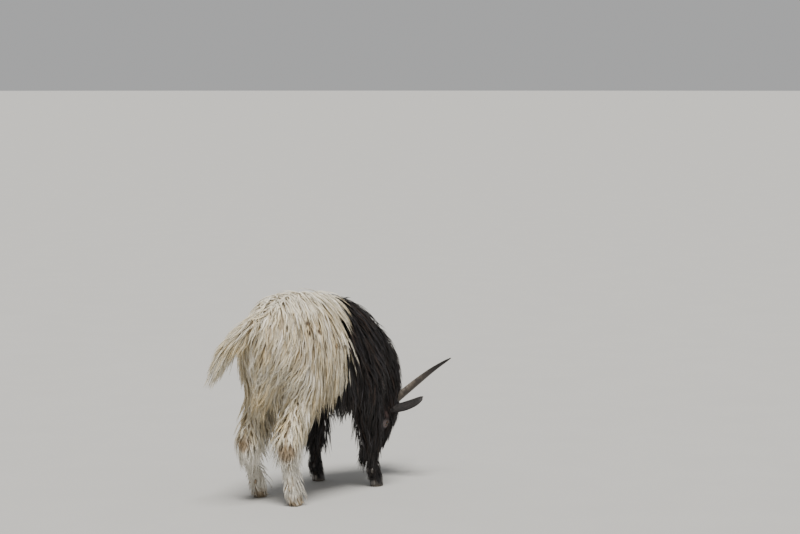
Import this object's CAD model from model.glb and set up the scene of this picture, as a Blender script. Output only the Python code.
"""Looks of a Valais blackneck goat, life size, grazing with its head low.

The goat is modelled facing +X with its left side towards +Y, in the axes of
its own body, and every finished piece is then moved to the frame's origin.
"""

import math
from collections import namedtuple

import bmesh
import bpy
import numpy as np
from mathutils import Euler, Matrix, Vector
from mathutils.bvhtree import BVHTree
from mathutils.kdtree import KDTree


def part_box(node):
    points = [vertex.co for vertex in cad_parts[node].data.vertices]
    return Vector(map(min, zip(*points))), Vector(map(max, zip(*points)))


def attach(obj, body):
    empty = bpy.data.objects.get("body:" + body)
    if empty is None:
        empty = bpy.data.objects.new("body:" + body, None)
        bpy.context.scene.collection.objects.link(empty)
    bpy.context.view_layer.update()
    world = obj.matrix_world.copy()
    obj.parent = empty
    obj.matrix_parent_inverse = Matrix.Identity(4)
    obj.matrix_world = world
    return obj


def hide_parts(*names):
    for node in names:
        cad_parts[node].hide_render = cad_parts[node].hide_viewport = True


bl_info = {
    "name": "Blackneck goat",
    "version": (1, 0, 0),
    "blender": (4, 5, 0),
    "location": "View3D > Sidebar > Goat",
    "description": "Dresses the frame of a long-haired goat with skin, coat, horns, ears, eyes and hooves",
    "category": "Object",
}

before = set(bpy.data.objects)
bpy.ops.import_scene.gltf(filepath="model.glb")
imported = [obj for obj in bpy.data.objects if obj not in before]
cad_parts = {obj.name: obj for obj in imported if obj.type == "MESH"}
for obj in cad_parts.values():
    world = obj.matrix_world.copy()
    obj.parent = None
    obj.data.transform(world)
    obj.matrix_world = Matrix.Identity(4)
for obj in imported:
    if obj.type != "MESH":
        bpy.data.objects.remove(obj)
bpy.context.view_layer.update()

LEFT = Vector((0, 1, 0))
UP = Vector((0, 0, 1))
SEED = 7

# Head: distance from the poll towards the nose, to the right, and towards the brow.
HEAD_TURN = math.radians(19)
HEAD_TUCK = math.radians(18)
POLL = Vector((0.696, -0.024, 0.299))
AHEAD = Vector((math.cos(HEAD_TURN), -math.sin(HEAD_TURN), 0))
HEAD_RIGHT = Vector((-math.sin(HEAD_TURN), -math.cos(HEAD_TURN), 0))
NOSEWARD = -AHEAD * math.sin(HEAD_TUCK) - UP * math.cos(HEAD_TUCK)
BROWWARD = AHEAD * math.cos(HEAD_TUCK) - UP * math.sin(HEAD_TUCK)

EYE_AT = (0.085, 0.0395, -0.010)
EYE_RADIUS = 0.0145
EYE_LONG = 0.0128
EYE_HIGH = 0.0092
LID_REACH = 0.027

HORN_AT = (-0.014, 0.029, 0.020)
HORN_REACH = (0.102, 0.148, 0.186)
HORN_BOW = 0.018
HORN_FLARE = 0.016
HORN_WIDE = 0.0158
HORN_RIDGES = 15

EAR_AT = (0.026, 0.050, -0.002)
EAR_LENGTH = 0.138
EAR_WIDTH = 0.062
EAR_CUP = 0.013
EAR_THICK = 0.0030
EAR_CURL = 0.020

# The body under its coat. Trunk: x, back, belly, half width.
TRUNK = [
    (-0.135, 0.670, 0.540, 0.045),
    (-0.105, 0.710, 0.480, 0.078),
    (-0.035, 0.768, 0.430, 0.108),
    (0.060, 0.780, 0.412, 0.126),
    (0.180, 0.782, 0.384, 0.136),
    (0.300, 0.763, 0.372, 0.135),
    (0.400, 0.732, 0.372, 0.127),
    (0.490, 0.698, 0.384, 0.106),
    (0.555, 0.655, 0.425, 0.076),
    (0.590, 0.620, 0.480, 0.045),
]
TRUNK_NARROW_TOP = 0.13
TRUNK_FULL_BELOW = 0.80

# Tubes of the body under its coat: centre, half width, half depth.
NECK = [
    ((0.490, 0.000, 0.565), 0.072, 0.094),
    ((0.578, -0.002, 0.540), 0.060, 0.082),
    ((0.642, -0.005, 0.500), 0.052, 0.072),
    ((0.680, -0.010, 0.445), 0.047, 0.063),
    ((0.692, -0.016, 0.385), 0.045, 0.057),
    ((0.693, -0.021, 0.325), 0.043, 0.053),
    ((0.688, -0.021, 0.285), 0.040, 0.048),
]
TAIL = [
    ((-0.080, 0.000, 0.690), 0.022, 0.020),
    ((-0.150, 0.010, 0.684), 0.021, 0.018),
    ((-0.205, 0.032, 0.642), 0.020, 0.015),
    ((-0.250, 0.050, 0.592), 0.016, 0.011),
    ((-0.272, 0.060, 0.560), 0.008, 0.006),
]
HIND_THIGH = [
    ((-0.014, 0.056, 0.640), 0.046, 0.080),
    ((0.002, 0.074, 0.560), 0.050, 0.094),
    ((0.026, 0.086, 0.480), 0.046, 0.084),
]
HIND_RIGHT = HIND_THIGH + [
    ((0.040, 0.092, 0.415), 0.042, 0.064),
    ((0.016, 0.096, 0.350), 0.036, 0.050),
    ((-0.022, 0.097, 0.295), 0.030, 0.038),
    ((-0.058, 0.098, 0.243), 0.025, 0.033),
    ((-0.056, 0.101, 0.195), 0.021, 0.026),
    ((-0.054, 0.105, 0.130), 0.018, 0.021),
    ((-0.052, 0.109, 0.080), 0.021, 0.024),
    ((-0.040, 0.113, 0.026), 0.018, 0.022),
]
HIND_LEFT = HIND_THIGH + [
    ((0.034, 0.090, 0.415), 0.042, 0.064),
    ((0.008, 0.090, 0.345), 0.036, 0.050),
    ((-0.032, 0.088, 0.280), 0.030, 0.038),
    ((-0.070, 0.088, 0.222), 0.025, 0.033),
    ((-0.050, 0.093, 0.180), 0.021, 0.026),
    ((-0.018, 0.098, 0.125), 0.018, 0.021),
    ((0.008, 0.103, 0.078), 0.021, 0.024),
    ((0.028, 0.107, 0.026), 0.018, 0.022),
]
FORE_RIGHT = [
    ((0.460, 0.070, 0.560), 0.040, 0.066),
    ((0.444, 0.098, 0.470), 0.044, 0.062),
    ((0.428, 0.116, 0.400), 0.040, 0.054),
    ((0.430, 0.125, 0.330), 0.033, 0.044),
    ((0.441, 0.129, 0.265), 0.026, 0.033),
    ((0.451, 0.131, 0.222), 0.024, 0.028),
    ((0.453, 0.131, 0.180), 0.018, 0.021),
    ((0.452, 0.131, 0.120), 0.016, 0.018),
    ((0.454, 0.131, 0.078), 0.020, 0.022),
    ((0.469, 0.131, 0.026), 0.018, 0.021),
]
FORE_LEFT = [
    ((0.450, 0.070, 0.560), 0.040, 0.066),
    ((0.434, 0.098, 0.470), 0.044, 0.062),
    ((0.416, 0.116, 0.400), 0.040, 0.054),
    ((0.415, 0.124, 0.330), 0.033, 0.044),
    ((0.422, 0.127, 0.265), 0.026, 0.033),
    ((0.429, 0.129, 0.222), 0.024, 0.028),
    ((0.426, 0.129, 0.180), 0.018, 0.021),
    ((0.422, 0.129, 0.120), 0.016, 0.018),
    ((0.422, 0.129, 0.078), 0.020, 0.022),
    ((0.436, 0.129, 0.026), 0.018, 0.021),
]
LEGS = {
    "hind_right": (HIND_RIGHT, -1),
    "hind_left": (HIND_LEFT, 1),
    "fore_right": (FORE_RIGHT, -1),
    "fore_left": (FORE_LEFT, 1),
}
FEET = {
    "hind_right": Vector((-0.034, -0.114, 0)),
    "hind_left": Vector((0.036, 0.108, 0)),
    "fore_right": Vector((0.477, -0.131, 0)),
    "fore_left": Vector((0.444, 0.129, 0)),
}
# Head under its coat: distance from the poll, middle in depth, half width, half depth,
# and how much wider it is at the brow than at the jaw.
HEAD = [
    (-0.035, -0.022, 0.033, 0.037, 0.00),
    (0.000, -0.018, 0.043, 0.054, 0.05),
    (0.040, -0.015, 0.050, 0.060, 0.12),
    (0.075, -0.014, 0.050, 0.059, 0.18),
    (0.105, -0.014, 0.044, 0.053, 0.16),
    (0.140, -0.013, 0.034, 0.044, 0.10),
    (0.175, -0.012, 0.028, 0.036, 0.02),
    (0.208, -0.011, 0.0255, 0.030, -0.05),
    (0.232, -0.010, 0.0250, 0.026, -0.05),
    (0.246, -0.010, 0.019, 0.019, 0.00),
]
MOUTH_ANGLE = math.radians(-28)
MOUTH_FROM = 0.186
NOSTRIL_AT = (0.240, 0.0125, 0.003)

SKIN_VOXEL = 0.0055
BODY_SIDES = 28

# Where white turns to black: x of the hair's roots on the back, how far back the line
# falls on the flanks, and how far from the middle it has fallen.
MARKING_AT = 0.310
MARKING_FALL = 0.062
MARKING_SIDE = 0.100

# Each body part's hair from its start to its end. Share of the way, length,
# depth over the skin, spacing of the locks, forward lean of the lie.
CoatRow = namedtuple("CoatRow", "share length depth spacing lean")
COATS = {
    "trunk": [
        CoatRow(0.00, 0.120, 0.022, 0.0125, 0.00),
        CoatRow(0.20, 0.150, 0.030, 0.0130, 0.00),
        CoatRow(0.45, 0.185, 0.042, 0.0135, 0.00),
        CoatRow(0.70, 0.190, 0.044, 0.0135, 0.00),
        CoatRow(1.00, 0.180, 0.040, 0.0130, 0.00),
    ],
    "neck": [
        CoatRow(0.00, 0.180, 0.036, 0.0130, 0.30),
        CoatRow(0.50, 0.160, 0.030, 0.0120, 0.10),
        CoatRow(0.80, 0.125, 0.022, 0.0110, 0.00),
        CoatRow(1.00, 0.090, 0.016, 0.0100, 0.00),
    ],
    "tail": [
        CoatRow(0.00, 0.100, 0.014, 0.0095, 0.00),
        CoatRow(0.40, 0.130, 0.024, 0.0072, 0.00),
        CoatRow(1.00, 0.118, 0.022, 0.0052, 0.00),
    ],
    "hind": [
        CoatRow(0.00, 0.135, 0.028, 0.0136, -0.35),
        CoatRow(0.22, 0.135, 0.032, 0.0132, -0.30),
        CoatRow(0.40, 0.135, 0.035, 0.0124, -0.15),
        CoatRow(0.57, 0.115, 0.032, 0.0110, -0.05),
        CoatRow(0.66, 0.066, 0.018, 0.0092, -0.05),
        CoatRow(0.80, 0.050, 0.014, 0.0074, -0.05),
        CoatRow(0.88, 0.060, 0.020, 0.0078, -0.10),
        CoatRow(1.00, 0.048, 0.024, 0.0068, 0.00),
    ],
    "fore": [
        CoatRow(0.00, 0.150, 0.030, 0.0135, 0.00),
        CoatRow(0.30, 0.165, 0.031, 0.0122, -0.25),
        CoatRow(0.48, 0.145, 0.023, 0.0108, -0.20),
        CoatRow(0.60, 0.085, 0.013, 0.0092, -0.10),
        CoatRow(0.75, 0.042, 0.010, 0.0084, -0.05),
        CoatRow(0.90, 0.052, 0.018, 0.0076, -0.05),
        CoatRow(1.00, 0.036, 0.016, 0.0064, 0.05),
    ],
    "head": [
        CoatRow(0.00, 0.075, 0.014, 0.0090, 0.00),
        CoatRow(0.20, 0.056, 0.011, 0.0074, 0.00),
        CoatRow(0.40, 0.044, 0.009, 0.0068, 0.00),
        CoatRow(0.60, 0.032, 0.006, 0.0060, 0.00),
        CoatRow(0.72, 0.022, 0.0032, 0.0044, 0.00),
        CoatRow(0.80, 0.013, 0.0018, 0.0031, 0.00),
        CoatRow(0.92, 0.007, 0.0010, 0.0025, 0.00),
        CoatRow(1.00, 0.005, 0.0008, 0.0023, 0.00),
    ],
}
# The flank's long hair ends at a hem; hair rooted near or below it is short.
HEM_WHITE = ((0.14, 0.25), (0.300, 0.390))
HEM_BLACK = 0.272
# How the trunk's hair leans ahead at each x: back over the rump, forward at the shoulder.
RUMP_LIE = ((-0.10, 0.00, 0.10, 0.22, 0.32, 0.40, 0.50), (-0.85, -0.45, -0.20, 0.05, 0.28, 0.42, 0.35))
SPINE_LIE = ((0.05, 0.30, 0.55), (-0.45, -0.15, 0.25))
# Over what width the hair turns from one side of the back to the other.
PARTING = 0.034
# Along the head, to each side, number of locks, length, depth, and whether they grow from the brow.
HEAD_TUFTS = {
    "forelock": ((-0.015, 0.030), 0.026, 64, 0.115, 0.016, True),
    "beard": ((0.170, 0.226), 0.014, 70, 0.085, 0.003, False),
}
HEM_SHORTEST = 0.045
# How full the hair between the legs is, by the share of the way down a leg.
FRINGE = ((0.55, 0.70, 0.90, 0.97), (0.0, 1.0, 1.0, 0.0))
INNER_FULL = ((0.16, 0.28, 0.55, 0.68), (0.0, 1.0, 1.0, 0.0))
BROW_FULL = ((0.10, 0.25, 0.66, 0.78), (0.0, 1.0, 1.0, 0.0))
LONG_HAIR = 0.062
LONG_FACE_HAIR = 0.021
# Strands wider than this are flat ribbons.
RIBBON = 0.0026
RELIEF = 0.36
LONG_STEPS = 7
SHORT_STEPS = 4
MOST_TRIANGLES = 190000
PATCH = 0.003


def mirrored(point, hand):
    return Vector((point[0], point[1] * hand, point[2]))


def in_head(along, right, brow):
    return POLL + NOSEWARD * along + HEAD_RIGHT * right + BROWWARD * brow


def frame_shift():
    """How far the frame's origin lies from the body's own, found from the right eye."""
    low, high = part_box("eye_right")
    return in_head(*EYE_AT) - (low + high) / 2


SHIFT = frame_shift()


def object_of(name, shape):
    """A mesh object of a bmesh, in the body's own axes; the bmesh is freed."""
    mesh = bpy.data.meshes.new(name)
    shape.to_mesh(mesh)
    shape.free()
    made = bpy.data.objects.new(name, mesh)
    bpy.context.scene.collection.objects.link(made)
    return made


def apply_modifiers(piece):
    graph = bpy.context.evaluated_depsgraph_get()
    mesh = bpy.data.meshes.new_from_object(piece.evaluated_get(graph))
    piece.modifiers.clear()
    old = piece.data
    piece.data = mesh
    bpy.data.meshes.remove(old)


def set_piece(piece, finish, slot, *nodes, smooth=True):
    """Moves a finished piece to the frame, gives it its material and says what it stands for."""
    piece.data.transform(Matrix.Translation(-SHIFT))
    if smooth:
        piece.data.shade_smooth()
    piece.data.materials.clear()
    piece.data.materials.append(finish)
    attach(piece, "root")
    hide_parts(*nodes)
    return piece


def frame_matrix(centre, x_axis, y_axis, z_axis):
    turn = Matrix((x_axis, y_axis, z_axis)).transposed().to_4x4()
    return Matrix.Translation(centre) @ turn


def ring(shape, matrix, sides):
    """A loop of edges: a circle of radius one, placed and stretched by the matrix."""
    verts = bmesh.ops.create_circle(shape, segments=sides, radius=1.0, matrix=matrix)["verts"]
    edges = list({edge for vert in verts for edge in vert.link_edges})
    return verts, edges


def bridge(shape, rings):
    """Closes a skin over loops of edges, one bridged to the next, with both ends filled."""
    for (_, low), (_, high) in zip(rings, rings[1:]):
        bmesh.ops.bridge_loops(shape, edges=low + high)
    for _, edges in (rings[0], rings[-1]):
        bmesh.ops.edgeloop_fill(shape, edges=edges)


def path_axes(centres, k, across):
    """The two axes square to a path at one of its points."""
    ahead = (centres[min(k + 1, len(centres) - 1)] - centres[max(k - 1, 0)]).normalized()
    side = (across - ahead * across.dot(ahead)).normalized()
    return side, side.cross(ahead).normalized(), ahead


def tube(shape, stations, sides, hand=1):
    """Ellipses square to the path through the stations, bridged and closed."""
    centres = [mirrored(s[0], hand) for s in stations]
    rings = []
    for k, (_, wide, deep) in enumerate(stations):
        side, up, ahead = path_axes(centres, k, LEFT)
        rings.append(ring(shape, frame_matrix(centres[k], side * wide, up * deep, ahead), sides))
    bridge(shape, rings)


def trunk(shape):
    """The barrel of the body: narrow along the back and full below."""
    rings = []
    for x, top, bottom, wide in TRUNK:
        deep = (top - bottom) / 2
        middle = Vector((x, 0, (top + bottom) / 2))
        verts, edges = ring(shape, frame_matrix(middle, LEFT * wide, UP * deep, LEFT.cross(UP)), BODY_SIDES)
        for vert in verts:
            across = (vert.co.y / wide)
            up = (vert.co.z - middle.z) / deep
            if up < 0:
                across = math.copysign(abs(across) ** TRUNK_FULL_BELOW, across)
            vert.co.y = wide * across * (1 - TRUNK_NARROW_TOP * up)
        rings.append((verts, edges))
    bridge(shape, rings)


def ball(shape, centre, axes, halves, sides=20, rows=12):
    columns = [axis * half for axis, half in zip(axes, halves)]
    matrix = frame_matrix(centre, *columns)
    bmesh.ops.create_uvsphere(shape, u_segments=sides, v_segments=rows, radius=1.0, matrix=matrix)


def head(shape):
    """Skull and muzzle, with brows, cheeks, jaw, nose and chin as balls sunk into them."""
    rings = []
    for along, brow, wide, deep, taper in HEAD:
        middle = in_head(along, 0, brow)
        matrix = frame_matrix(middle, HEAD_RIGHT * wide, BROWWARD * deep, NOSEWARD)
        verts, edges = ring(shape, matrix, BODY_SIDES)
        for vert in verts:
            from_middle = vert.co - middle
            up = from_middle.dot(BROWWARD) / deep
            vert.co += HEAD_RIGHT * (from_middle.dot(HEAD_RIGHT) * taper * up)
        rings.append((verts, edges))
    bridge(shape, rings)
    axes = (HEAD_RIGHT, BROWWARD, NOSEWARD)
    ball(shape, in_head(0.228, 0, -0.029), axes, (0.0155, 0.012, 0.020))
    ball(shape, in_head(0.240, 0, -0.003), axes, (0.0235, 0.020, 0.016))
    ball(shape, in_head(0.120, 0, 0.030), axes, (0.022, 0.012, 0.060))
    for hand in (1, -1):
        ball(shape, in_head(0.080, 0.027 * hand, -0.038), axes, (0.021, 0.028, 0.045))
        ball(shape, in_head(0.060, 0.034 * hand, 0.008), axes, (0.017, 0.020, 0.022))
        ball(shape, in_head(0.096, 0.031 * hand, -0.014), axes, (0.017, 0.020, 0.024))
        ball(shape, in_head(0.150, 0.010 * hand, -0.045), axes, (0.012, 0.012, 0.050))


def eye_frame(hand):
    """Middle of the eyeball, the way it looks, the line of its corners, and up across it."""
    along, right, brow = EYE_AT
    middle = in_head(along, right * hand, brow)
    gaze = (HEAD_RIGHT * hand * 0.93 + BROWWARD * 0.34 + NOSEWARD * 0.10).normalized()
    corners = (NOSEWARD - gaze * NOSEWARD.dot(gaze)).normalized()
    return middle, gaze, corners, gaze.cross(corners).normalized() * hand


def head_station(along):
    """Middle in depth, half width and half depth of the head at a distance from the poll."""
    stations = np.array(HEAD)
    return [float(np.interp(along, stations[:, 0], stations[:, k])) for k in (1, 2, 3)]


def mouth_line():
    """Points along the right side's line of the lips, front first."""
    line = [in_head(0.2495, 0.0, -0.019), in_head(0.2475, 0.010, -0.0195)]
    for along in np.linspace(0.240, MOUTH_FROM, 6):
        brow, wide, deep = head_station(along)
        right = wide * math.cos(MOUTH_ANGLE)
        line.append(in_head(along, right, brow + deep * math.sin(MOUTH_ANGLE)))
    return line


def carve_head(shape):
    """Presses the line of the lips, the nostrils, the philtrum and the eyes' beds into the skin."""
    shape.normal_update()
    marks = []
    for hand in (1, -1):
        line = mouth_line()
        flip = [p - HEAD_RIGHT * (2 * (p - POLL).dot(HEAD_RIGHT)) if hand < 0 else p for p in line]
        for a, b in zip(flip, flip[1:]):
            marks.append((a, b, 0.0032, 0.0042))
        along, right, brow = NOSTRIL_AT
        marks.append((in_head(along + 0.006, right * hand * 0.55, brow - 0.004),
                      in_head(along - 0.001, right * hand * 1.25, brow + 0.004), 0.0038, 0.0065))
    marks.append((in_head(0.252, 0, 0.000), in_head(0.250, 0, -0.016), 0.0022, 0.0025))
    for vert in shape.verts:
        spot = vert.co
        if (spot - POLL).dot(NOSEWARD) < 0.16:
            continue
        push = 0.0
        for a, b, radius, depth in marks:
            span = b - a
            share = min(1.0, max(0.0, (spot - a).dot(span) / span.length_squared))
            away = (spot - a - span * share).length
            if away < radius * 2.5:
                push = max(push, depth * math.exp(-((away / radius) ** 2)))
        vert.co -= vert.normal * push


def build_skin():
    """The whole body as one closed skin, smoothed, with a finer head."""
    shape = bmesh.new()
    trunk(shape)
    tube(shape, NECK, BODY_SIDES)
    tube(shape, TAIL, 16)
    for stations, hand in LEGS.values():
        tube(shape, stations, 20, hand)
    head(shape)
    for foot, (stations, hand) in LEGS.items():
        joint = mirrored(stations[-2][0], hand)
        for side in (1, -1):
            spot = joint + Vector((-0.016, side * 0.011, -0.004))
            ball(shape, spot, (LEFT, UP, LEFT.cross(UP)), (0.008, 0.010, 0.008))
    bmesh.ops.recalc_face_normals(shape, faces=shape.faces)
    skin = object_of("skin", shape)
    remesh = skin.modifiers.new("skin", "REMESH")
    remesh.mode = "VOXEL"
    remesh.voxel_size = SKIN_VOXEL
    apply_modifiers(skin)
    shape = bmesh.new()
    shape.from_mesh(skin.data)
    for _ in range(8):
        bmesh.ops.smooth_vert(shape, verts=shape.verts, factor=0.5, use_axis_x=True, use_axis_y=True,
                              use_axis_z=True)
    on_head = [e for e in shape.edges if all((v.co - POLL).dot(NOSEWARD) > 0.015 and v.co.x > 0.53
                                             for v in e.verts)]
    bmesh.ops.subdivide_edges(shape, edges=on_head, cuts=1, use_grid_fill=True)
    muzzle = [e for e in shape.edges if all((v.co - POLL).dot(NOSEWARD) > 0.175 and v.co.x > 0.53
                                            for v in e.verts)]
    bmesh.ops.subdivide_edges(shape, edges=muzzle, cuts=1, use_grid_fill=True)
    fine = [v for v in shape.verts if (v.co - POLL).dot(NOSEWARD) > 0.0 and v.co.x > 0.53]
    for _ in range(3):
        bmesh.ops.smooth_vert(shape, verts=fine, factor=0.5, use_axis_x=True, use_axis_y=True,
                              use_axis_z=True)
    carve_head(shape)
    bmesh.ops.triangulate(shape, faces=[f for f in shape.faces if len(f.verts) > 4])
    shape.to_mesh(skin.data)
    shape.free()
    return skin


def tree_of(piece):
    shape = bmesh.new()
    shape.from_mesh(piece.data)
    made = BVHTree.FromBMesh(shape)
    shape.free()
    return made


def eyeball(hand, word):
    """An eyeball with the clear front bulging a little from it."""
    middle, gaze, corners, high = eye_frame(hand)
    shape = bmesh.new()
    ball(shape, middle, (corners, high, gaze), (EYE_RADIUS * 0.985,) * 3, 48, 32)
    for vert in shape.verts:
        out = (vert.co - middle).normalized()
        bulge = max(0.0, out.dot(gaze) - 0.72) / 0.28
        vert.co += out * (0.0009 * bulge * (2 - bulge))
    bmesh.ops.recalc_face_normals(shape, faces=shape.faces)
    return object_of(f"eyeball_{word}", shape)


def eyelids(hand, word, tree):
    """Both lids: a rounded rim on the eyeball, a crease, and a slope that sinks into the skin."""
    middle, gaze, corners, high = eye_frame(hand)
    shape = bmesh.new()
    sides = 40
    verts, edges = ring(shape, frame_matrix(middle, corners, high, gaze), sides)
    turns = []
    for vert in verts:
        flat = vert.co - middle
        turns.append(math.atan2(flat.dot(high), flat.dot(corners)))
    loops = [(verts, edges)]
    profile = [(0.00, -0.0014), (0.05, 0.0004), (0.12, 0.0014), (0.22, 0.0016), (0.32, 0.0008),
               (0.42, 0.0011), (0.60, 0.0008), (0.80, 0.0), (1.0, -0.003)]
    for _ in profile[1:]:
        made = bmesh.ops.extrude_edge_only(shape, edges=loops[-1][1])["geom"]
        new_verts = [g for g in made if isinstance(g, bmesh.types.BMVert)]
        new_edges = [g for g in made if isinstance(g, bmesh.types.BMEdge)
                     and all(v in new_verts for v in g.verts)]
        order = []
        for vert in loops[-1][0]:
            order.append(next(v for v in new_verts if (v.co - vert.co).length < 1e-7
                              and any(e.other_vert(v) is vert for e in v.link_edges)))
        loops.append((order, new_edges))
    for (share, lift), (loop, _) in zip(profile, loops):
        for vert, turn in zip(loop, turns):
            # The lower lid hangs fuller than the upper, and the corners are drawn to points.
            pointed = 1 - 0.18 * abs(math.sin(turn * 2))
            wide = EYE_LONG * pointed + (LID_REACH - EYE_LONG) * share
            tall = EYE_HIGH * (1.0 if math.sin(turn) > 0 else 0.92) + (LID_REACH * 0.86 - EYE_HIGH) * share
            flat = corners * (wide * math.cos(turn)) + high * (tall * math.sin(turn))
            on_ball = math.sqrt(max(0.0, (EYE_RADIUS + 0.0006) ** 2 - flat.length_squared))
            ray = middle + flat + gaze * 0.05
            spot, normal, _, _ = tree.ray_cast(ray, -gaze)
            skin_height = (spot - middle).dot(gaze) if spot is not None else 0.0
            if spot is None or skin_height < -0.02:
                skin_height = -0.004
            blend = min(1.0, share / 0.75)
            blend = blend * blend * (3 - 2 * blend)
            height = on_ball * (1 - blend) + skin_height * blend if on_ball > 0 else skin_height
            vert.co = middle + flat + gaze * (height + lift)
    shape.normal_update()
    bmesh.ops.recalc_face_normals(shape, faces=shape.faces)
    rim = shape.faces[0]
    if rim.normal.dot(rim.calc_center_median() - middle) < 0:
        bmesh.ops.reverse_faces(shape, faces=shape.faces)
    made = object_of(f"eyelids_{word}", shape)
    thick = made.modifiers.new("thick", "SOLIDIFY")
    thick.thickness = 0.0012
    thick.offset = -1
    fine = made.modifiers.new("fine", "SUBSURF")
    fine.levels = 1
    fine.render_levels = 1
    apply_modifiers(made)
    return made


def horn(hand, word):
    """A horn swept back and out, keeled in front, with growth ridges that fade to the tip."""
    ahead, out, back = HORN_REACH
    base = in_head(HORN_AT[0], HORN_AT[1] * hand, HORN_AT[2])
    chord = AHEAD * ahead + HEAD_RIGHT * (out * hand) - NOSEWARD * back
    bow = (BROWWARD * 0.4 - HEAD_RIGHT * (0.92 * hand)).normalized()
    rows = 96
    centres = []
    for k in range(rows):
        share = k / (rows - 1)
        flare = HEAD_RIGHT * (hand * HORN_FLARE * max(0.0, (share - 0.62) / 0.38) ** 2)
        centres.append(base + chord * share + bow * (HORN_BOW * math.sin(math.pi * share)) + flare)
    shape = bmesh.new()
    rings = []
    sunk = chord.normalized() * 0.018
    for k in range(-1, rows):
        share = max(0, k) / (rows - 1)
        side, up, forward = path_axes(centres, max(0, k), HEAD_RIGHT)
        radius = HORN_WIDE * (1 - 0.78 * share ** 2.3) * min(1.0, (1.03 - share) / 0.09) ** 0.5
        ridge = math.sin(math.pi * ((share ** 0.9 * HORN_RIDGES) % 1.0)) ** 0.6
        radius *= 1 + 0.055 * (ridge - 0.5) * (1 - share) ** 0.7
        centre = centres[max(0, k)] - (sunk if k < 0 else Vector())
        matrix = frame_matrix(centre, side * (radius * 0.84), up * radius, forward)
        verts, edges = ring(shape, matrix, 24)
        for vert in verts:
            keel = max(0.0, (vert.co - centre).normalized().dot(up)) ** 6
            vert.co += up * (radius * 0.10 * keel)
        rings.append((verts, edges))
    bridge(shape, rings)
    bmesh.ops.recalc_face_normals(shape, faces=shape.faces)
    return object_of(f"horn_shell_{word}", shape)


def ear_point(hand, share, sway):
    """A point of the ear's inner face: share of its length, and -1 to 1 across it."""
    root = in_head(EAR_AT[0], EAR_AT[1] * hand, EAR_AT[2])
    along = (HEAD_RIGHT * (0.75 * hand) + AHEAD * 0.45 - NOSEWARD * 0.22).normalized()
    opening = (BROWWARD * 0.85 + NOSEWARD * 0.55)
    opening = (opening - along * opening.dot(along)).normalized()
    across = along.cross(opening).normalized()
    shares = (-0.12, 0.0, 0.14, 0.32, 0.52, 0.72, 0.88, 0.97, 1.0)
    widths = (0.52, 0.64, 0.82, 0.96, 1.0, 0.95, 0.80, 0.56, 0.28)
    width = float(np.interp(share, shares, widths))
    centre = root + along * (EAR_LENGTH * share) + UP * (EAR_CURL * max(0.0, share) ** 3)
    fold = EAR_CUP * width * (1 - sway * sway) * (1 + 0.5 * max(0.0, 0.3 - share))
    return centre + across * (EAR_WIDTH / 2 * width * sway) - opening * fold, opening


def ear(hand, word):
    """A cupped leaf of skin with a thicker, rolled edge near its root."""
    shape = bmesh.new()
    bmesh.ops.create_grid(shape, x_segments=22, y_segments=12, size=1.0)
    for vert in shape.verts:
        share = -0.12 + 1.12 * (vert.co.x + 1) / 2
        vert.co = ear_point(hand, share, vert.co.y)[0]
    bmesh.ops.recalc_face_normals(shape, faces=shape.faces)
    made = object_of(f"ear_shell_{word}", shape)
    thick = made.modifiers.new("thick", "SOLIDIFY")
    thick.thickness = EAR_THICK
    thick.offset = 0
    fine = made.modifiers.new("fine", "SUBSURF")
    fine.levels = 1
    fine.render_levels = 1
    apply_modifiers(made)
    return made


def claw_outline():
    """Half of a cloven hoof on the floor, heel to toe, with the cleft on y = 0."""
    points = []
    for k in range(9):
        turn = math.pi * k / 8
        x = 0.002 - 0.029 * math.cos(turn)
        bow = math.sin(turn) ** 0.75
        points.append((x, 0.0004 + 0.0195 * bow * (1.0 - 0.10 * (x / 0.03))))
    return points


def hoof(foot, word):
    """The two claws of a foot, each pushed up from its outline and rounded."""
    at = FEET[foot]
    shape = bmesh.new()
    for side in (1, -1):
        corners = [shape.verts.new((at.x + x, at.y + (y + 0.0014) * side, 0.0)) for x, y in claw_outline()]
        sole = shape.faces.new(corners)
        top = sole
        for rise, narrow, back in ((0.008, 0.985, 0.0), (0.014, 0.95, -0.0015), (0.016, 0.87, -0.0045)):
            made = bmesh.ops.extrude_face_region(shape, geom=[top])["geom"]
            verts = [g for g in made if isinstance(g, bmesh.types.BMVert)]
            top = next(g for g in made if isinstance(g, bmesh.types.BMFace))
            middle = sum((v.co for v in verts), Vector()) / len(verts)
            for vert in verts:
                vert.co.x = middle.x + (vert.co.x - middle.x) * narrow + back
                inner = at.y + 0.0018 * side
                vert.co.y = inner + (vert.co.y - inner) * narrow
                vert.co.z += rise
    bmesh.ops.recalc_face_normals(shape, faces=shape.faces)
    made = object_of(f"hoof_{word}", shape)
    round_edges = made.modifiers.new("round", "BEVEL")
    round_edges.width = 0.0012
    round_edges.segments = 3
    round_edges.limit_method = "ANGLE"
    round_edges.angle_limit = math.radians(50)
    apply_modifiers(made)
    return made


def dewclaws(foot, word):
    """The two small claws behind the fetlock."""
    stations, hand = LEGS[foot]
    joint = mirrored(stations[-2][0], hand)
    shape = bmesh.new()
    for side in (1, -1):
        spot = joint + Vector((-0.023, side * 0.011, -0.010))
        down = Vector((-0.35, 0, -1)).normalized()
        axes = (LEFT, LEFT.cross(down), down)
        ball(shape, spot, axes, (0.0055, 0.0060, 0.0105), 16, 10)
    bmesh.ops.recalc_face_normals(shape, faces=shape.faces)
    return object_of(f"dewclaws_{word}", shape)


TAIL_LINE = np.array([station[0] for station in TAIL])
NECK_LINE = np.array([station[0] for station in NECK])
Chain = namedtuple("Chain", "name kind centres wide deep cell")


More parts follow.
